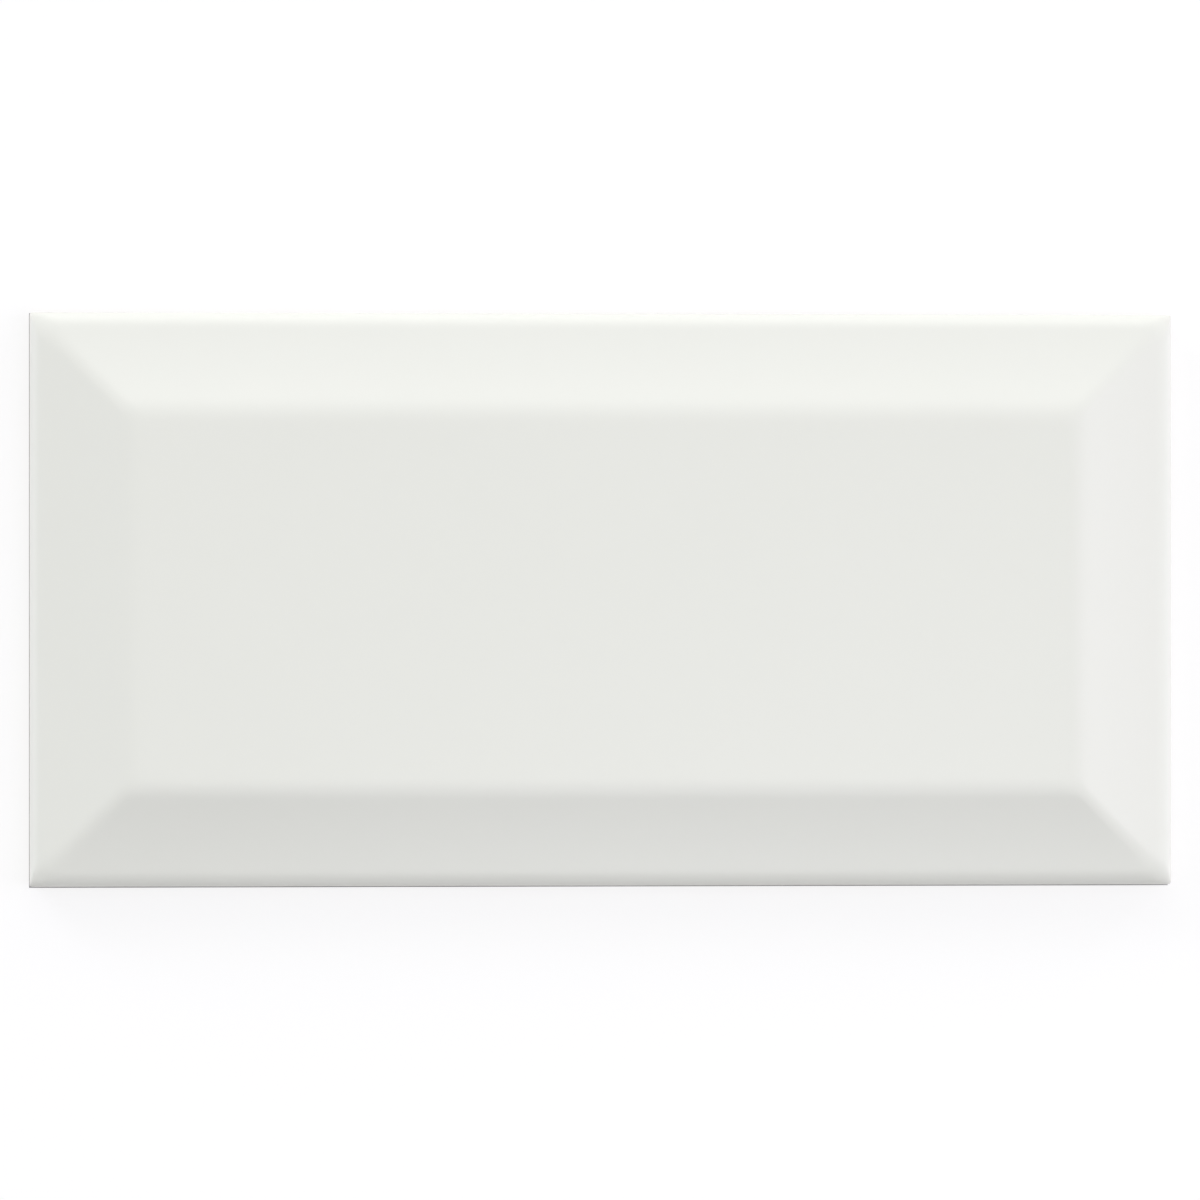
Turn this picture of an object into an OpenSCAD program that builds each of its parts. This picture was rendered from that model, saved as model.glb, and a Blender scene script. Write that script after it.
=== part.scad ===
// Bevelled subway wall tile, pressed from clay in one piece and fired: an upright edge, a rolled
// shoulder, a hollow bevel mitred at four hips, a flat panel, and a waffle key on the back.
// The origin is the middle of the back. X runs along the tile and Z points out of the glazed face.

/* [Format] */
// Length of the tile from edge to edge
tile_l = 150; // [100:1:300]
// Width of the tile from edge to edge
tile_w = 75; // [60:1:150]
// Thickness from the back to the panel
tile_t = 8; // [7:0.1:12]
// Radius of the four upright corners
corner_r = 0.4; // [0.2:0.05:1.5]
// Chamfer round the foot of the edge
foot_chamfer = 0.5; // [0.2:0.05:1]

/* [Bevel] */
// Drop from the panel to the top of the upright edge
bevel_drop = 4.5; // [3.8:0.05:5.2]
// Radius of the shoulder, where the upright edge rolls into the bevel
shoulder_r = 1.6; // [1:0.1:2.4]
// Radius of the hollow in the bevel
hollow_r = 90; // [40:1:400]
// Radius of the crown, where the bevel rolls into the panel
crown_r = 9.5; // [6:0.5:20]
// Distance from the edge to the flat of the panel
panel_inset = 14.2; // [13:0.1:20]

/* [Waffle key] */
// Width of the plain border round the key
key_border = 4.5; // [3:0.1:8]
// Spacing that the pockets come as near to as whole pockets allow
key_pitch = 11.6; // [8:0.1:20]
// Width of the ribs between the pockets
rib_w = 2.2; // [1.2:0.1:4]
// Depth of the pockets
pocket_d = 0.7; // [0.3:0.05:1.2]
// Draft of the pocket walls, from mouth to floor
pocket_draft = 0.6; // [0.2:0.05:1]

/* [Hidden] */
glaze_colour = [0.9, 0.905, 0.885];
// Overrun of cutting shapes past the faces that they cut
overrun = 1;
// Overlap of the hollow with each roll, so that their outlines cross at one clean point
blend_lap = 0.0005;
// Circles are true curves in the solid, and this sets only how fine they preview
$fn = 180;

edge_h = tile_t - bevel_drop;

// Section of one edge, as [distance in from the edge, height above the back]. The hollow's circle
// lies outside the shoulder's and the crown's and touches both, which fixes its centre.
shoulder_at = [shoulder_r, edge_h];
crown_at = [panel_inset, tile_t - crown_r];
shoulder_reach = hollow_r + shoulder_r - blend_lap;
crown_reach = hollow_r + crown_r - blend_lap;
roll_gap = norm(crown_at - shoulder_at);
roll_dir = (crown_at - shoulder_at) / roll_gap;
gap_along = (pow(shoulder_reach, 2) - pow(crown_reach, 2) + pow(roll_gap, 2)) / (2 * roll_gap);
gap_across = sqrt(pow(shoulder_reach, 2) - pow(gap_along, 2));
hollow_at = shoulder_at + gap_along * roll_dir + gap_across * [-roll_dir[1], roll_dir[0]];
shoulder_end = shoulder_at + shoulder_r * (hollow_at - shoulder_at) / shoulder_reach;
crown_end = crown_at + crown_r * (hollow_at - crown_at) / crown_reach;

// Whole, even numbers of pockets fill the back between its borders, so the middle lies on a rib
function pocket_count(span) = 2 * max(1, round((span - 2 * key_border + rib_w) / (2 * key_pitch)));
function pocket_pitch(span) = (span - 2 * key_border + rib_w) / pocket_count(span);

// Half of the section across a span, with the edge at x = 0 and the middle at x = half
module half_section(half) {
    difference() {
        union() {
            polygon([
                [foot_chamfer, 0],
                [half, 0],
                [half, tile_t],
                [panel_inset, tile_t],
                crown_end,
                shoulder_end,
                [0, edge_h],
                [0, foot_chamfer],
            ]);
            intersection() {
                translate(shoulder_at) circle(shoulder_r);
                translate([0, edge_h]) square(shoulder_r);
            }
            intersection() {
                translate(crown_at) circle(crown_r);
                translate([crown_end[0], edge_h]) square([panel_inset - crown_end[0], bevel_drop]);
            }
        }
        translate(hollow_at) circle(hollow_r);
    }
}

module section(span) {
    for (side = [0, 1])
        mirror([side, 0]) translate([-span / 2, 0]) half_section(span / 2);
}

// Two bars with the same edges, crossed: where their bevels meet, the four hips are mitred
module bevelled_body() {
    intersection() {
        rotate([90, 0, 90]) linear_extrude(tile_l + 2 * overrun, center = true) section(tile_w);
        rotate([90, 0, 0]) linear_extrude(tile_w + 2 * overrun, center = true) section(tile_l);
    }
}

// What rounding takes off the four upright corners
module corner_trim() {
    for (x_side = [0, 1], y_side = [0, 1])
        mirror([x_side, 0, 0]) mirror([0, y_side, 0])
            translate([tile_l / 2 - corner_r, tile_w / 2 - corner_r, -overrun])
                linear_extrude(tile_t + 2 * overrun)
                    difference() {
                        square(corner_r + overrun);
                        circle(corner_r);
                    }
}

// Section of a row of pockets across a span: tapered teeth on a strip below the back
module key_comb(span) {
    pitch = pocket_pitch(span);
    mouth = pitch - rib_w;
    floor_w = mouth - 2 * pocket_draft;
    reach = overrun * pocket_draft / pocket_d;
    for (i = [0 : pocket_count(span) - 1])
        translate([(i + 1 / 2) * pitch - (span - 2 * key_border + rib_w) / 2, 0])
            polygon([
                [-mouth / 2 - reach, -overrun],
                [mouth / 2 + reach, -overrun],
                [floor_w / 2, pocket_d],
                [-floor_w / 2, pocket_d],
            ]);
}

// Pockets lie where a row of teeth along the tile meets a row across it
module key_pockets() {
    intersection() {
        rotate([90, 0, 90]) linear_extrude(tile_l, center = true) key_comb(tile_w);
        rotate([90, 0, 0]) linear_extrude(tile_w, center = true) key_comb(tile_l);
    }
}

module tile() {
    color(glaze_colour)
        difference() {
            bevelled_body();
            corner_trim();
            key_pockets();
        }
}

tile();
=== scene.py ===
import math

import bmesh
import bpy
from bpy.props import FloatProperty, FloatVectorProperty, IntProperty, PointerProperty
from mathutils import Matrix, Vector, noise


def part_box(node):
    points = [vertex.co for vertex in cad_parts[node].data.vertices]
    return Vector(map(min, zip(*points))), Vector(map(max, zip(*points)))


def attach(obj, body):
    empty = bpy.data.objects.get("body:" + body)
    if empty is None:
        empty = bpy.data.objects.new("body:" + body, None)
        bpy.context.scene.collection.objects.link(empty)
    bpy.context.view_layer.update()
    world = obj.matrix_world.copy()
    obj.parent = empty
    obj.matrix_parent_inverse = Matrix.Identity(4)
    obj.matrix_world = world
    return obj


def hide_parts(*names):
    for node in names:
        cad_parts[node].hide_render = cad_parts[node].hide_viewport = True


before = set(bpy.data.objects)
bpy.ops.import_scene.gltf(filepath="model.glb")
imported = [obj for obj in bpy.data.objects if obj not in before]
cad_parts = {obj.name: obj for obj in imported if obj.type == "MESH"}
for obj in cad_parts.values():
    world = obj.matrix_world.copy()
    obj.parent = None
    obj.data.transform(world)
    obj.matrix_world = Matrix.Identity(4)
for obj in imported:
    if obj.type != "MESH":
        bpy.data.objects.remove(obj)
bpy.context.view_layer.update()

bl_info = {
    "name": "Bevelled Wall Tile",
    "version": (1, 0, 0),
    "blender": (4, 5, 0),
    "location": "View3D > Sidebar > Wall Tile",
    "description": "Makes a glazed wall tile with mitred bevels and a waffle key, and its stage",
    "category": "Object",
}

MM = 0.001

# The solid's box, and the tile's half length, half width and thickness in it
TILE_LOW, TILE_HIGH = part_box("tile")
HALF = (TILE_HIGH - TILE_LOW).to_2d() / 2
THICKNESS = TILE_HIGH.z - TILE_LOW.z

# Width of the picture and of the tile in it, and how far right and up of the middle the tile lies
PICTURE_PIXELS = 1200
TILE_PIXELS = 1141.8
TILE_OFFSET_PIXELS = Vector((0.4, 0.4))

# Places on the tile's mesh that belong to the glaze and to the bare clay
GLAZE, CLAY = 0, 1

# Rings of the glazed face: over the crown, down the hollow, and over the shoulder, where a power
# brings them closer together towards the rim
CROWN_RINGS = 12
HOLLOW_RINGS = 12
SHOULDER_RINGS = 24
SHOULDER_CLOSENESS = 1.6

# How thin the glaze has run at the rim, at the foot of the upright edge, and on the bead
RIM_THIN, EDGE_THIN, BEAD_THIN = 0.5, 0.9, 0.7

# Section of the worn foot, as shares of the chamfer inwards and up, ending level under the tile
FOOT_SECTION = ((0.02, 0.98), (0.12, 0.82), (0.42, 0.46), (0.78, 0.12), (0.95, 0.02), (1.2, 0.0))

# The stage's lamps stand this far from the tile in metres, but for the near one
LAMP_DISTANCE = 3.0

# The open floor is set a little over white, and the tile's shadow fades out between two distances
# from the tile in metres
OPEN_FLOOR = 1.02
SHADOW_FADES, SHADOW_ENDS = 0.05, 0.25


def spaced(start, end, steps):
    """Even steps from start to end, with both ends"""
    return [start + (end - start) * i / steps for i in range(steps + 1)]


def length(name, description, value):
    """A size, given in millimetres and kept in metres"""
    return FloatProperty(name=name, description=description, default=value * MM, min=0.0,
                         unit="LENGTH", subtype="DISTANCE", precision=5)


def share(name, description, value):
    """A share from nought to one"""
    return FloatProperty(name=name, description=description, default=value, min=0.0, max=1.0,
                         subtype="FACTOR")


def colour(name, description, value):
    """The colour of a surface or a lamp"""
    return FloatVectorProperty(name=name, description=description, default=value, size=3,
                               min=0.0, max=1.0, subtype="COLOR")


def power(name, description, value):
    """The power of a lamp in watts"""
    return FloatProperty(name=name, description=description, default=value, min=0.0, unit="POWER")


class WallTileFace(bpy.types.PropertyGroup):
    """Glazed Face"""
    bevel_drop: length("Bevel Drop", "From the panel down to the top of the upright edge", 4.5)
    shoulder_radius: length("Shoulder Radius", "Roll from the upright edge into the bevel", 1.6)
    shoulder_fade: length("Shoulder Fade", "How far the glaze fades the roll into the bevel", 1.1)
    hollow_radius: length("Hollow Radius", "Hollow of the bevel", 90.0)
    crown_radius: length("Crown Radius", "Roll from the bevel into the panel", 9.5)
    panel_inset: length("Panel Inset", "From the edge to the flat of the panel", 14.2)
    rim_corner: length("Rim Corner", "Corner radius of the outline", 0.4)
    hip_round: length("Hip Rounding", "How softly the glaze rounds the hips", 1.2)
    rim_swell: length("Rim Swell", "How much softer the glaze rounds the hips near the rim", 1.9)
    rim_swell_reach: length("Rim Swell Reach", "How far in from the rim the hips are softer", 5.0)
    panel_corner: length("Panel Corner", "Corner radius of the panel", 1.4)
    ripple: length("Ripple", "Height of the slow waves in the glaze", 0.012)
    corner_steps: IntProperty(name="Corner Steps", description="Facets round each corner",
                              default=8, min=3, max=24)


class WallTileEdge(bpy.types.PropertyGroup):
    """Edge and Glaze Line"""
    line: length("Glaze Line", "Usual height of the glaze's lower edge", 1.45)
    wander: length("Wander", "How far the glaze's lower edge wanders up and down", 0.55)
    coat: length("Coat", "How far the glaze stands off the bare clay", 0.14)
    bead: length("Bead", "Height of the bead along the glaze's lower edge", 0.16)
    spray: length("Overspray", "How far specks of glaze reach below the bead", 0.9)
    foot_chamfer: length("Foot Chamfer", "Chamfer round the foot of the edge", 0.5)
    chips: length("Chips", "Depth of the worn places along the foot", 0.12)


class WallTileKey(bpy.types.PropertyGroup):
    """Waffle Key"""
    border: length("Border", "Plain border round the key", 4.5)
    pitch: length("Pitch", "Spacing that the pockets come as near to as they can", 11.6)
    rib: length("Rib", "Width of the ribs between the pockets", 2.2)
    depth: length("Depth", "Depth of the pockets", 0.7)
    draft: length("Draft", "How far each pocket wall leans in", 0.6)
    corner: length("Pocket Corner", "Corner radius of the pockets", 1.1)
    soft: length("Softening", "Rounding of the pockets' edges", 0.15)
    grit: length("Grit", "Height of the unevenness of the pressed clay", 0.012)


class WallTileFinish(bpy.types.PropertyGroup):
    """Finish"""
    glaze: colour("Glaze", "Where the glaze is full", (0.807, 0.821, 0.753))
    glaze_thin: colour("Thin Glaze", "Where the glaze has run thin", (0.745, 0.725, 0.665))
    glaze_roughness: share("Glaze Roughness", "Satin of the glaze", 0.3)
    clay: colour("Clay", "Fired clay", (0.665, 0.560, 0.440))
    clay_pale: colour("Pale Clay", "Paler patches of the clay", (0.760, 0.675, 0.565))
    kiln_wash: colour("Kiln Wash", "Chalky wash on the ribs", (0.800, 0.780, 0.735))
    clay_roughness: share("Clay Roughness", "Matt of the clay", 0.92)


class WallTileStage(bpy.types.PropertyGroup):
    """Stage"""
    lens: FloatProperty(name="Lens", description="Focal length of the camera", default=250.0,
                        min=20.0, max=500.0, unit="CAMERA")
    lean: FloatProperty(name="Lean", description="How far left of straight above the camera is",
                        default=math.radians(4.0), min=0.0, max=1.0, subtype="ANGLE", unit="ROTATION")
    floor_size: length("Floor Size", "Side of the floor", 8000.0)
    floor_tone: share("Floor Tone", "How much light the floor throws back", 0.7)
    shadow: share("Shadow", "How much of the tile's shadow the floor shows", 0.28)
    # The line tone is painted shadow: a darker floor tone laid in a thin line only along the tile's
    # left and near sides, where its shadow falls
    painted_shadow_tone: share("Line Tone", "Tone of the deep shadow along the tile's foot", 0.38)
    painted_shadow_left: length("Line on the Left", "Width of the deep shadow on the left", 0.06)
    painted_shadow_below: length("Line Below", "Width of the deep shadow on the near side", 0.22)
    surroundings: share("Surroundings", "Strength of the light from all round", 0.4)
    key: power("Key", "Low lamp beyond the tile, to its left", 54.1)
    fill: power("Fill", "Low lamp beyond the tile, to its right", 20.6)
    back: power("Back", "Lamp beyond the tile", 17.3)
    left: power("Left", "Low lamp on the left", 20.5)
    right: power("Right", "Low lamp on the right", 46.2)
    high_right: power("High Right", "High lamp on the right", 11.7)
    overhead: power("Overhead", "Lamp straight above", 1.98)
    near: power("Near", "Small lamp close above the near side", 0.152)
    cool: colour("Cool Tint", "Tint of the low lamps and the near lamp", (0.89, 0.885, 1.0))
    lilac: colour("Lilac Tint", "Tint of the high lamp on the right", (0.92, 0.82, 1.0))
    warm: colour("Warm Tint", "Tint of the back and overhead lamps", (0.98, 1.0, 0.78))


GROUPS = {
    "wall_tile_face": WallTileFace,
    "wall_tile_edge": WallTileEdge,
    "wall_tile_key": WallTileKey,
    "wall_tile_finish": WallTileFinish,
    "wall_tile_stage": WallTileStage,
}


# Section of the glazed face

def roll_centres(face):
    """Centres of the shoulder's, the hollow's and the crown's circles, as (inset, height)"""
    shoulder = Vector((face.shoulder_radius, THICKNESS - face.bevel_drop))
    crown = Vector((face.panel_inset, THICKNESS - face.crown_radius))
    to_shoulder = face.hollow_radius + face.shoulder_radius
    to_crown = face.hollow_radius + face.crown_radius
    gap = crown - shoulder
    along = (to_shoulder**2 - to_crown**2 + gap.length_squared) / (2 * gap.length)
    aside = math.sqrt(to_shoulder**2 - along**2)
    way = gap.normalized()
    return shoulder, shoulder + along * way + aside * Vector((-way.y, way.x)), crown


def soft_ramp(x, width):
    """Nought below zero and x above it, rounded within a width of zero"""
    if abs(x) >= width:
        return max(x, 0.0)
    return (x + width) ** 2 / (4 * width)


def tilt_sine(face, inset):
    """Sine of the face's tilt from level at an inset. Along each arc of the section it is a straight
    line, and the glaze rounds the turn of the line between the shoulder and the hollow"""
    shoulder, hollow, crown = roll_centres(face)
    on_shoulder = (shoulder.x - inset) / face.shoulder_radius
    on_hollow = (inset - hollow.x) / face.hollow_radius
    on_crown = (crown.x - inset) / face.crown_radius
    fade = face.shoulder_fade * (1 / face.shoulder_radius + 1 / face.hollow_radius)
    bevel = max(min(on_hollow, on_crown), 0.0)
    return min(bevel + soft_ramp(on_shoulder - bevel, fade), 1.0)


def face_profile(face):
    """The glazed face's section as (inset, height), from the flat of the panel to the upright edge"""
    _, hollow, crown = roll_centres(face)
    crown_foot = crown + face.crown_radius * (hollow - crown).normalized()
    roll_top = face.shoulder_radius + face.shoulder_fade
    insets = spaced(crown.x, crown_foot.x, CROWN_RINGS)
    insets += spaced(crown_foot.x, roll_top, HOLLOW_RINGS)[1:]
    insets += [roll_top * (1 - i / SHOULDER_RINGS) ** SHOULDER_CLOSENESS
               for i in range(1, SHOULDER_RINGS + 1)]
    points = [(insets[0], THICKNESS)]
    for inset, after in zip(insets, insets[1:]):
        sine, sine_after = tilt_sine(face, inset), tilt_sine(face, after)
        cosine, cosine_after = math.sqrt(1 - sine**2), math.sqrt(1 - sine_after**2)
        # The rise of an arc whose tilt goes from one of the two to the other
        rise = (sine + sine_after) / (cosine + cosine_after) * (after - inset)
        points.append((after, points[-1][1] + rise))
    return points


def hip_radius(face, inset):
    """Corner radius of the face's level line at an inset, which sets how soft the hips are. From the
    panel outwards it changes slowly, swells near the rim, and ends in the outline's own radius"""
    up_bevel = face.hip_round + (face.panel_corner - face.hip_round) * inset / face.panel_inset
    near = min(inset / face.rim_swell_reach, 1.0)
    swollen = up_bevel + face.rim_swell * (1 - near) ** 2
    off_rim = min(inset / face.shoulder_radius, 1.0)
    return face.rim_corner + (swollen - face.rim_corner) * off_rim * (2 - off_rim)


# The tile's skin

class Skin:
    """A closed surface grown ring by ring over the tile, with marks that its materials read"""

    MARKS = ("clay", "thin_glaze", "overspray", "kiln_wash", "wear")

    def __init__(self, counts, corner_steps):
        self.mesh = bmesh.new()
        self.counts = counts
        self.corner_steps = corner_steps
        self.marks = {name: self.mesh.verts.layers.float.new(name) for name in self.MARKS}
        self.last = None

    def vertex(self, place, marks):
        made = self.mesh.verts.new(place)
        for name, value in marks.items():
            made[self.marks[name]] = value
        return made

    def face(self, corners, material):
        self.mesh.faces.new(corners).material_index = material

    def outline(self, inset, corner):
        """Places anticlockwise round the tile: each straight side, then the corner after it"""
        across, up = (half - inset - corner for half in HALF)
        count_across, count_up = self.counts
        sides = [((across, -up), (across, up), (1, 0), count_up),
                 ((across, up), (-across, up), (0, 1), count_across),
                 ((-across, up), (-across, -up), (-1, 0), count_up),
                 ((-across, -up), (across, -up), (0, -1), count_across)]
        places = []
        for start, end, out, count in sides:
            places += [Vector(start).lerp(Vector(end), i / count) + corner * Vector(out)
                       for i in range(count)]
            for i in range(self.corner_steps):
                turn = math.atan2(out[1], out[0]) + math.pi / 2 * i / self.corner_steps
                places.append(Vector(end) + corner * Vector((math.cos(turn), math.sin(turn))))
        return places

    def grow(self, material, inset, corner, height, **marks):
        """Adds a ring below or inside the last one, and the band of faces between them.
        The height and the marks are numbers, or functions of a place on the outline"""
        ring = []
        for place in self.outline(inset, corner):
            level = height(place) if callable(height) else height
            values = {name: mark(place) if callable(mark) else mark for name, mark in marks.items()}
            ring.append(self.vertex((*place, level), values))
        if self.last:
            for i, corner_vertex in enumerate(self.last):
                after = (i + 1) % len(ring)
                self.face((corner_vertex, ring[i], ring[after], self.last[after]), material)
        self.last = ring
        return ring

    def close(self, ring, lines, height, material, marks):
        """Closes a ring with a grid that has as many steps across and up as the ring's sides have.
        The height and the marks are functions of a place on the grid"""
        grid = [[self.vertex((x, y, height(x, y)), marks(x, y)) for y in lines[1]] for x in lines[0]]
        for row, after in zip(grid, grid[1:]):
            for j in range(len(row) - 1):
                self.face((row[j], after[j], after[j + 1], row[j + 1]), material)
        sides = (grid[-1], [row[-1] for row in reversed(grid)],
                 grid[0][::-1], [row[0] for row in grid])
        at = 0
        for side in sides:
            for i in range(len(side) - 1):
                self.face((ring[at], ring[at + 1], side[i + 1], side[i]), material)
                at += 1
            for _ in range(self.corner_steps):
                self.face((ring[at], ring[(at + 1) % len(ring)], side[-1]), material)
                at += 1


def wave(place, size, level):
    """Smooth noise between -1 and 1 on a place of the outline, whose features are about a size
    across. Waves of different levels have nothing in common"""
    return noise.noise(Vector((place[0] / size, place[1] / size, level)))


def layered_noise(place, size, second_size, second_share):
    """Smooth noise of two sizes on a place of the skin, the second size weaker than the first"""
    return noise.noise(place / size) + second_share * noise.noise(place / second_size)


def glaze_line(edge):
    """Height of the glaze's lower edge, as a function of a place on the outline"""
    lowest = 1.3 * edge.foot_chamfer
    quick_share = 0.35
    drip_share = 2.2
    drip_start = 0.28

    def height(place):
        slow = wave(place, size=11 * MM, level=7.3)
        quick = quick_share * wave(place, size=2.6 * MM, level=12.3)
        drip = drip_share * max(wave(place, size=7 * MM, level=16.3) - drip_start, 0.0)
        return max(edge.line + edge.wander * (slow + quick - drip), lowest)
    return height


def grow_face(skin, face):
    """The glazed face, from the panel over the crown, the hollow and the shoulder"""
    drained_reach = 0.4 * face.shoulder_radius
    panel_ring = None
    for inset, level in face_profile(face):
        drained = max(0.0, 1 - inset / drained_reach)
        ring = skin.grow(GLAZE, inset, hip_radius(face, inset), level, thin_glaze=RIM_THIN * drained)
        panel_ring = panel_ring or ring
    reach = [half - face.panel_inset - face.panel_corner for half in HALF]
    lines = [spaced(-side, side, count) for side, count in zip(reach, skin.counts)]
    skin.close(panel_ring, lines, lambda x, y: THICKNESS, GLAZE, lambda x, y: {})


def grow_glazed_edge(skin, face, edge, line):
    """The glaze down the upright edge, ending in a rounded bead"""
    top = skin.last[0].co.z
    lean = edge.coat / 4
    wall_parts = (0.3, 0.6, 0.85)
    bead_turns = (-40, 0, 30, 60, 85)
    for part in wall_parts:
        skin.grow(GLAZE, lean * part, face.rim_corner,
                  lambda place: top - part * (top - line(place) - edge.bead),
                  thin_glaze=RIM_THIN + part * (EDGE_THIN - RIM_THIN))
    for turn in map(math.radians, bead_turns):
        skin.grow(GLAZE, edge.coat * (1 - math.cos(turn)), face.rim_corner,
                  lambda place: line(place) + edge.bead / 2 * (1 - math.sin(turn)),
                  thin_glaze=BEAD_THIN)


def grow_bare_edge(skin, face, edge, line):
    """The bare clay below the bead, and the worn chamfer round the foot"""
    crease = 0.02 * MM
    foot = 1.15 * edge.foot_chamfer
    wall_parts = (0.0, 0.35, 0.7, 1.0)
    for part in wall_parts:
        skin.grow(CLAY, edge.coat, face.rim_corner,
                  lambda place: line(place) - crease - part * (line(place) - crease - foot),
                  overspray=lambda place: max(0.0, 1 - part * (line(place) - foot) / edge.spray),
                  clay=1.0, wear=part)
    for inward, up in FOOT_SECTION:
        skin.grow(CLAY, edge.coat + inward * edge.foot_chamfer,
                  face.rim_corner + inward * edge.foot_chamfer / 2, up * edge.foot_chamfer,
                  clay=1.0, wear=1.0 if inward < 1.0 else 0.0)


# Waffle key on the back

def pocket_row(key, span):
    """How many pockets stand in a row across a span, and their pitch. The number is even"""
    room = span - 2 * key.border + key.rib
    count = 2 * max(1, round(room / (2 * key.pitch)))
    return count, room / count


def pocket_lines(key, span):
    """Grid lines across a span of pockets, closest together at the pockets' edges"""
    count, pitch = pocket_row(key, span)
    mouth = (pitch - key.rib) / 2
    corner_reach = 0.8 * key.corner
    insets = (-key.soft, 0.0, key.soft, key.draft - key.soft, key.draft, key.draft + key.soft,
              key.draft + corner_reach)
    half = [mouth - inset for inset in insets]
    cell = [-x for x in half] + [0.0] + half[::-1]
    lines = [-count * pitch / 2]
    for i in range(count):
        middle = (i + 0.5 - count / 2) * pitch
        lines += [middle + x for x in cell] + [middle + pitch / 2]
    return lines


def pocket_depth(key, x, y):
    """Depth of the key at a place on the back: rounded, drafted pockets between level ribs"""
    outside = []
    for place, half in zip((x, y), HALF):
        count, pitch = pocket_row(key, 2 * half)
        index = min(max(math.floor(place / pitch + count / 2), 0), count - 1)
        middle = (index + 0.5 - count / 2) * pitch
        outside.append(abs(place - middle) - (pitch - key.rib) / 2 + key.corner)
    beyond = math.hypot(*(max(d, 0.0) for d in outside))
    inside = key.corner - beyond - min(max(outside), 0.0)
    fall = soft_ramp(inside, key.soft) - soft_ramp(inside - key.draft, key.soft)
    return key.depth * fall / key.draft


def grow_back(skin, key, lines):
    """The waffled back, closing the last ring of the foot"""
    def marks(x, y):
        return {"clay": 1.0, "kiln_wash": 1 - pocket_depth(key, x, y) / key.depth}
    skin.close(skin.last, lines, lambda x, y: pocket_depth(key, x, y), CLAY, marks)


def unsettle(skin, face, edge, key):
    """Moves the skin inwards by what pressing and firing leave: waves, grit and a worn foot"""
    skin.mesh.normal_update()
    clay, wear = skin.marks["clay"], skin.marks["wear"]
    lump_share = 0.6
    chip_size, chip_start, chip_rise = 2.4 * MM, 0.25, 2.5
    shiver_share = 0.35
    moves = []
    for vertex in skin.mesh.verts:
        place = vertex.co
        if vertex[clay]:
            grit = layered_noise(place, 1.1 * MM, 3.7 * MM, lump_share)
            chip = max(noise.noise(place / chip_size) - chip_start, 0.0) * vertex[wear]
            moves.append(key.grit * (1 + lump_share + grit) + chip_rise * edge.chips * chip)
        else:
            slow = layered_noise(place, 13 * MM, 4.5 * MM, shiver_share)
            moves.append(face.ripple * (1 + shiver_share - slow))
    for vertex, amount in zip(skin.mesh.verts, moves):
        vertex.co -= vertex.normal * amount


def fired_tile_mesh(face, edge, key):
    """The fired tile as one closed mesh, from the panel round the edges to the back"""
    lines = [pocket_lines(key, 2 * half) for half in HALF]
    skin = Skin([len(row) - 1 for row in lines], face.corner_steps)
    line = glaze_line(edge)
    grow_face(skin, face)
    grow_glazed_edge(skin, face, edge, line)
    grow_bare_edge(skin, face, edge, line)
    grow_back(skin, key, lines)
    bmesh.ops.recalc_face_normals(skin.mesh, faces=skin.mesh.faces)
    unsettle(skin, face, edge, key)
    mesh = bpy.data.meshes.new("fired_tile")
    skin.mesh.to_mesh(mesh)
    skin.mesh.free()
    mesh.shade_smooth()
    return mesh


# Node trees

class Tree:
    """Short calls for building a node tree"""

    def __init__(self, tree):
        self.tree = tree
        self.nodes = tree.nodes

    def feed(self, socket, value):
        """Links a socket to a socket, or sets it to a value"""
        if isinstance(value, bpy.types.NodeSocket):
            self.tree.links.new(value, socket)
        else:
            socket.default_value = value

    def node(self, kind, settings=None, **inputs):
        """A node with its settings, and its inputs by name, where _ stands for a space"""
        made = self.nodes.new(kind)
        for name, value in (settings or {}).items():
            setattr(made, name, value)
        for name, value in inputs.items():
            self.feed(made.inputs[name.replace("_", " ")], value)
        return made

    def math(self, operation, first, second=0.0, clamp=False):
        made = self.node("ShaderNodeMath", {"operation": operation, "use_clamp": clamp})
        self.feed(made.inputs[0], first)
        self.feed(made.inputs[1], second)
        return made.outputs[0]

    def remap(self, value, low, high, to_low=0.0, to_high=1.0):
        return self.node("ShaderNodeMapRange", Value=value, From_Min=low, From_Max=high,
                         To_Min=to_low, To_Max=to_high).outputs["Result"]

    def mix(self, factor, first, second, blend="MIX"):
        """Blends two colours"""
        made = self.node("ShaderNodeMix", {"data_type": "RGBA", "blend_type": blend})
        for index, value in ((0, factor), (6, first), (7, second)):
            self.feed(made.inputs[index], value)
        return made.outputs[2]

    def add(self, first, second):
        """Adds two shaders"""
        made = self.node("ShaderNodeAddShader")
        self.feed(made.inputs[0], first)
        self.feed(made.inputs[1], second)
        return made.outputs[0]

    def blend(self, factor, first, second):
        """Blends two shaders"""
        made = self.node("ShaderNodeMixShader", Fac=factor)
        self.feed(made.inputs[1], first)
        self.feed(made.inputs[2], second)
        return made.outputs[0]

    def mark(self, name):
        """What the tile's skin is marked with here"""
        return self.node("ShaderNodeAttribute", {"attribute_name": name}).outputs["Fac"]

    def grey(self, value):
        return self.node("ShaderNodeCombineColor", Red=value, Green=value, Blue=value).outputs[0]

    def bump(self, height, strength, distance):
        return self.node("ShaderNodeBump", Strength=strength, Distance=distance,
                         Height=height).outputs["Normal"]


def rgba(value):
    """A colour with full cover"""
    return (*value, 1.0)


# Finishes

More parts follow.
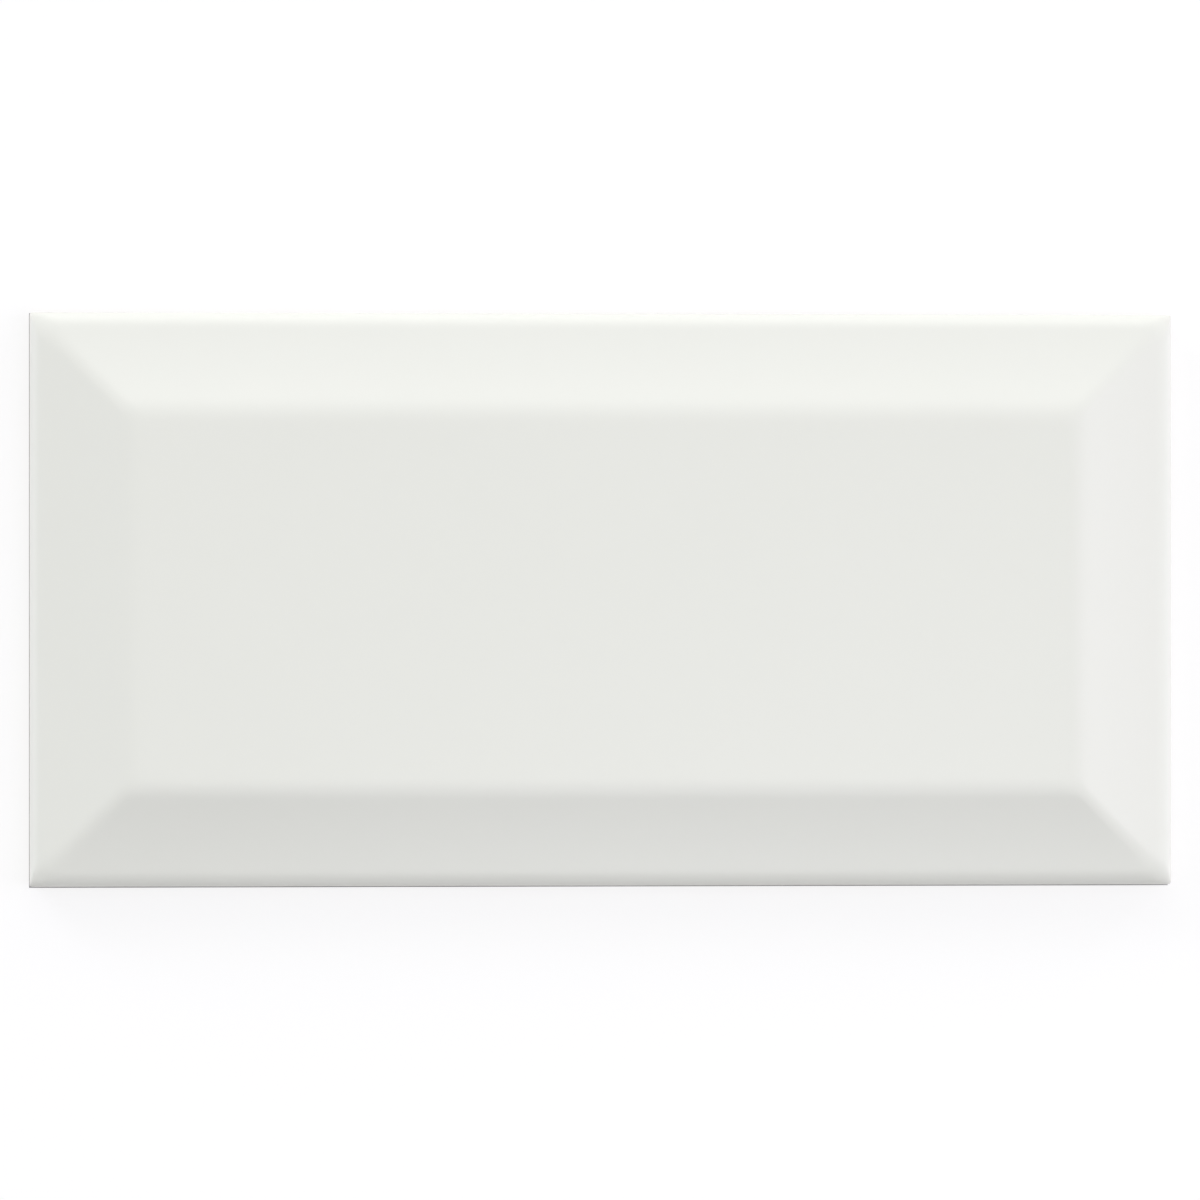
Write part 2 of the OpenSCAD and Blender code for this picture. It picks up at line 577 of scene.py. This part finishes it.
def fired_unevenness():
    """Node group for what firing leaves in glaze and clay alike: slow patches, specks and grain"""
    group = bpy.data.node_groups.new("Fired Unevenness", "ShaderNodeTree")
    for name, default in (("Patch Size", 14 * MM), ("Grain Size", 0.5 * MM),
                          ("Speck Spacing", 1.5 * MM), ("Speck Share", 0.1)):
        socket = group.interface.new_socket(name, in_out="INPUT", socket_type="NodeSocketFloat")
        socket.default_value = default
    for name in ("Patches", "Specks", "Grain"):
        group.interface.new_socket(name, in_out="OUTPUT", socket_type="NodeSocketFloat")
    tree = Tree(group)
    given = tree.node("NodeGroupInput").outputs
    place = tree.node("ShaderNodeTexCoord").outputs["Object"]

    def per(size):
        return tree.math("DIVIDE", 1.0, given[size])

    patches = tree.node("ShaderNodeTexNoise", Vector=place, Scale=per("Patch Size"), Detail=3.0,
                        Roughness=0.55).outputs["Fac"]
    grain = tree.node("ShaderNodeTexNoise", Vector=place, Scale=per("Grain Size"), Detail=4.0,
                      Roughness=0.6).outputs["Fac"]
    cells = tree.node("ShaderNodeTexVoronoi", Vector=place, Scale=per("Speck Spacing")).outputs
    chance = tree.node("ShaderNodeSeparateColor", Color=cells["Color"]).outputs["Red"]
    chosen = tree.math("LESS_THAN", chance, given["Speck Share"])
    speck_full, speck_ends = 0.05, 0.22
    near = tree.remap(cells["Distance"], speck_full, speck_ends, 1.0, 0.0)
    patch_low, patch_high = 0.15, 0.85
    tree.node("NodeGroupOutput", Patches=tree.remap(patches, patch_low, patch_high), Grain=grain,
              Specks=tree.math("MULTIPLY", chosen, near))
    return group


def unevenness(tree, group, **sizes):
    """The group placed in a finish with that finish's own sizes"""
    return tree.node("ShaderNodeGroup", {"node_tree": group}, **sizes).outputs


def new_finish(name):
    """A new material, its node tree and its shader"""
    material = bpy.data.materials.new(name)
    material.use_nodes = True
    tree = Tree(material.node_tree)
    return material, tree, tree.nodes["Principled BSDF"].inputs


def glaze_finish(finish, group):
    """Soft satin white glaze, creamier where it has drained thin"""
    material, tree, shader = new_finish("White Satin Glaze")
    marks = unevenness(tree, group, Patch_Size=17 * MM, Grain_Size=1.3 * MM)
    least_thin, darkest = 0.5, 0.99
    smoothest = finish.glaze_roughness - 0.03
    roughest = finish.glaze_roughness + 0.03
    patchy = tree.remap(marks["Patches"], 0, 1, least_thin, 1.0)
    thin = tree.math("MULTIPLY", tree.mark("thin_glaze"), patchy)
    body = tree.mix(thin, rgba(finish.glaze), rgba(finish.glaze_thin))
    cloud = tree.grey(tree.remap(marks["Patches"], 0, 1, darkest, 1.0))
    tree.feed(shader["Base Color"], tree.mix(1.0, body, cloud, "MULTIPLY"))
    tree.feed(shader["Roughness"], tree.remap(marks["Patches"], 0, 1, smoothest, roughest))
    tree.feed(shader["Normal"], tree.bump(marks["Grain"], strength=0.25, distance=0.02 * MM))
    return material


def clay_finish(finish, group):
    """Bare fired clay: matt and grainy, chalked with kiln wash on the ribs, specked with overspray"""
    material, tree, shader = new_finish("Bare Fired Clay")
    shader["Specular IOR Level"].default_value = 0.25
    marks = unevenness(tree, group, Patch_Size=22 * MM, Grain_Size=0.35 * MM,
                       Speck_Spacing=0.9 * MM, Speck_Share=0.12)
    body = tree.mix(marks["Patches"], rgba(finish.clay), rgba(finish.clay_pale))

    speck_darkness, speck_cover = 0.55, 0.35
    dark = rgba(speck_darkness * channel for channel in finish.clay)
    body = tree.mix(tree.math("MULTIPLY", marks["Specks"], speck_cover), body, dark)

    # The wash sits on the top of the ribs, and has worn off the low grains there
    rib_top = tree.math("POWER", tree.mark("kiln_wash"), 3.0)
    low_grain, high_grain, least_wash, most_wash = 0.35, 0.6, 0.35, 0.9
    worn = tree.remap(marks["Grain"], low_grain, high_grain, least_wash, most_wash)
    body = tree.mix(tree.math("MULTIPLY", rib_top, worn), body, rgba(finish.kiln_wash))

    # Dots of glaze sit on the highest grains, and on more of them where overspray lifts the mist
    mist_lift, dot_start = 0.35, 0.72
    mist = tree.math("ADD", marks["Grain"], tree.math("MULTIPLY", tree.mark("overspray"), mist_lift))
    dots = tree.math("GREATER_THAN", mist, dot_start)
    dot_roughness = finish.glaze_roughness + 0.2
    tree.feed(shader["Base Color"], tree.mix(dots, body, rgba(finish.glaze)))
    tree.feed(shader["Roughness"], tree.remap(dots, 0, 1, finish.clay_roughness, dot_roughness))
    tree.feed(shader["Normal"], tree.bump(marks["Grain"], strength=0.6, distance=0.06 * MM))
    return material


# Stage

def seen_as_background(tree):
    """One for a place that the camera, a reflection or clear glass looks at, and nought for one that
    only throws light on the tile"""
    path = tree.node("ShaderNodeLightPath").outputs
    looked = tree.math("ADD", path["Is Camera Ray"], path["Is Glossy Ray"], clamp=True)
    return tree.math("ADD", looked, path["Is Transmission Ray"], clamp=True)


def beyond_tile(tree, left=0.0, below=0.0):
    """How far a place on the floor lies outside the tile's outline, with the outline drawn out by
    some way on its left and below it"""
    place = tree.node("ShaderNodeTexCoord").outputs["Object"]
    parts = tree.node("ShaderNodeSeparateXYZ", Vector=place).outputs
    outside = []
    for part, half, more in zip(parts, HALF, (left / 2, below / 2)):
        from_middle = tree.math("ABSOLUTE", tree.math("ADD", part, more))
        outside.append(tree.math("SUBTRACT", from_middle, half + more))
    return tree.math("MAXIMUM", *outside)


def pale_floor_finish(stage):
    """Pale floor: painted shadow, a darker floor tone in a line along the tile's shaded sides, then a
    part of its soft shadow, and plain white further off. Under the tile it has its own tone"""
    material = bpy.data.materials.new("Pale Floor")
    material.use_nodes = True
    tree = Tree(material.node_tree)
    tree.nodes.clear()

    def lit(tone):
        return tree.node("ShaderNodeBsdfDiffuse", Color=rgba([tone] * 3)).outputs[0]

    def glow(strength):
        return tree.node("ShaderNodeEmission", Strength=strength).outputs[0]

    pale = lit(stage.floor_tone)
    soft = tree.add(lit(stage.shadow), glow(OPEN_FLOOR - stage.shadow))
    beyond = beyond_tile(tree)
    # The line is painted shadow: a floor tone darker than the rest, laid only on the left and near
    # sides, where the tile's shadow falls
    line = tree.blend(tree.math("GREATER_THAN", beyond, 0.0), pale, lit(stage.painted_shadow_tone))
    off_painted_shadow = tree.math("GREATER_THAN", beyond_tile(tree, stage.painted_shadow_left, stage.painted_shadow_below), 0.0)
    near = tree.blend(off_painted_shadow, line, soft)
    looked_at = tree.blend(tree.remap(beyond, SHADOW_FADES, SHADOW_ENDS), near, glow(1.0))
    surface = tree.blend(seen_as_background(tree), pale, looked_at)
    tree.node("ShaderNodeOutputMaterial", Surface=surface)
    return material


def make_floor(stage):
    """The floor under the tile"""
    bpy.ops.mesh.primitive_plane_add(size=stage.floor_size, location=(0.0, 0.0, TILE_LOW.z))
    floor = bpy.context.object
    floor.name = "floor"
    floor.data.materials.append(pale_floor_finish(stage))


def make_surroundings(stage):
    """Even light from all round, which looks white"""
    world = bpy.data.worlds.new("Surroundings")
    world.use_nodes = True
    tree = Tree(world.node_tree)
    tree.nodes.clear()
    level = tree.remap(seen_as_background(tree), 0, 1, stage.surroundings, 1.0)
    light = tree.node("ShaderNodeBackground", Color=rgba([1.0] * 3), Strength=level)
    tree.node("ShaderNodeOutputWorld", Surface=light.outputs[0])
    bpy.context.scene.world = world


def soft_lamp(name, watts, tint, bearing, height, size, distance=LAMP_DISTANCE, mirrored=True):
    """A square soft lamp turned to the tile. The bearing is in degrees anticlockwise from the tile's
    right, and the height in degrees above the floor. Mirrored lamps show in the glaze"""
    data = bpy.data.lights.new(name, "AREA")
    data.size = size
    data.energy = watts
    data.color = tint
    made = bpy.data.objects.new(name, data)
    bpy.context.scene.collection.objects.link(made)
    bearing, height = math.radians(bearing), math.radians(height)
    way = Vector((math.cos(height) * math.cos(bearing), math.cos(height) * math.sin(bearing),
                  math.sin(height)))
    made.location = distance * way
    made.rotation_euler = way.to_track_quat("Z", "Y").to_euler()
    made.visible_camera = False
    made.visible_glossy = mirrored


def make_lamps(stage):
    """Low lamps that shape the bevels and don't show in the glaze, and high ones that do"""
    soft_lamp("Key", stage.key, stage.cool, bearing=135, height=12, size=1.6, mirrored=False)
    soft_lamp("Fill", stage.fill, stage.cool, bearing=45, height=12, size=1.0, mirrored=False)
    soft_lamp("Back", stage.back, stage.warm, bearing=90, height=30, size=2.0, mirrored=False)
    soft_lamp("Left", stage.left, stage.cool, bearing=180, height=14, size=2.2, mirrored=False)
    soft_lamp("Right", stage.right, stage.cool, bearing=0, height=14, size=2.2, mirrored=False)
    soft_lamp("High Right", stage.high_right, stage.lilac, bearing=0, height=52, size=1.6)
    soft_lamp("Overhead", stage.overhead, stage.warm, bearing=90, height=90, size=1.2)
    soft_lamp("Near", stage.near, stage.cool, bearing=-63.4, height=69, size=0.2, distance=0.375)


def make_camera(stage, rim_height):
    """A camera above the tile, a little to its left, that frames it as the photograph does"""
    data = bpy.data.cameras.new("Camera")
    data.lens = stage.lens
    camera = bpy.data.objects.new("Camera", data)
    bpy.context.scene.collection.objects.link(camera)
    pixel = 2 * HALF.x * math.cos(stage.lean) / TILE_PIXELS
    distance = pixel * PICTURE_PIXELS * stage.lens / data.sensor_width
    # The near end looks longer, so the aim moves towards it to keep the outline in the middle
    near_shift = HALF.x**2 * math.sin(stage.lean) / distance
    aim = Vector((-near_shift, 0.0, rim_height)) - pixel * TILE_OFFSET_PIXELS.to_3d()
    camera.location = aim + distance * Vector((-math.sin(stage.lean), 0.0, math.cos(stage.lean)))
    camera.rotation_euler = (0.0, -stage.lean, 0.0)
    bpy.context.scene.camera = camera


class OBJECT_OT_wall_tile_add(bpy.types.Operator):
    """Make the fired tile: glazed face, edges and waffled back in one closed mesh"""
    bl_idname = "object.wall_tile_add"
    bl_label = "Add Wall Tile"
    bl_options = {"REGISTER", "UNDO"}

    def execute(self, context):
        scene = context.scene
        mesh = fired_tile_mesh(scene.wall_tile_face, scene.wall_tile_edge, scene.wall_tile_key)
        group = fired_unevenness()
        mesh.materials.append(glaze_finish(scene.wall_tile_finish, group))
        mesh.materials.append(clay_finish(scene.wall_tile_finish, group))
        tile = bpy.data.objects.new("fired_tile", mesh)
        scene.collection.objects.link(tile)
        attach(tile, "root")
        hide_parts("tile")
        return {"FINISHED"}


class OBJECT_OT_wall_tile_stage_add(bpy.types.Operator):
    """Make the floor, the studio light and the camera"""
    bl_idname = "object.wall_tile_stage_add"
    bl_label = "Add Stage"
    bl_options = {"REGISTER", "UNDO"}

    def execute(self, context):
        stage = context.scene.wall_tile_stage
        make_floor(stage)
        make_surroundings(stage)
        make_lamps(stage)
        make_camera(stage, THICKNESS - context.scene.wall_tile_face.bevel_drop)
        context.scene.view_settings.view_transform = "Standard"
        return {"FINISHED"}


OPERATORS = (OBJECT_OT_wall_tile_add, OBJECT_OT_wall_tile_stage_add)


class VIEW3D_PT_wall_tile(bpy.types.Panel):
    """The makers of the tile and its stage, with their sizes and finishes"""
    bl_label = "Wall Tile"
    bl_space_type = "VIEW_3D"
    bl_region_type = "UI"
    bl_category = "Wall Tile"

    def draw(self, context):
        for maker in OPERATORS:
            self.layout.operator(maker.bl_idname)
        for name, group in GROUPS.items():
            box = self.layout.box()
            box.label(text=group.__doc__)
            for prop in group.__annotations__:
                box.prop(getattr(context.scene, name), prop)


CLASSES = (*GROUPS.values(), *OPERATORS, VIEW3D_PT_wall_tile)


def register():
    for cls in CLASSES:
        bpy.utils.register_class(cls)
    for name, group in GROUPS.items():
        setattr(bpy.types.Scene, name, PointerProperty(type=group))


def unregister():
    for name in GROUPS:
        delattr(bpy.types.Scene, name)
    for cls in reversed(CLASSES):
        bpy.utils.unregister_class(cls)


def main():
    register()
    bpy.ops.object.wall_tile_add()
    bpy.ops.object.wall_tile_stage_add()


if __name__ == "__main__":
    main()
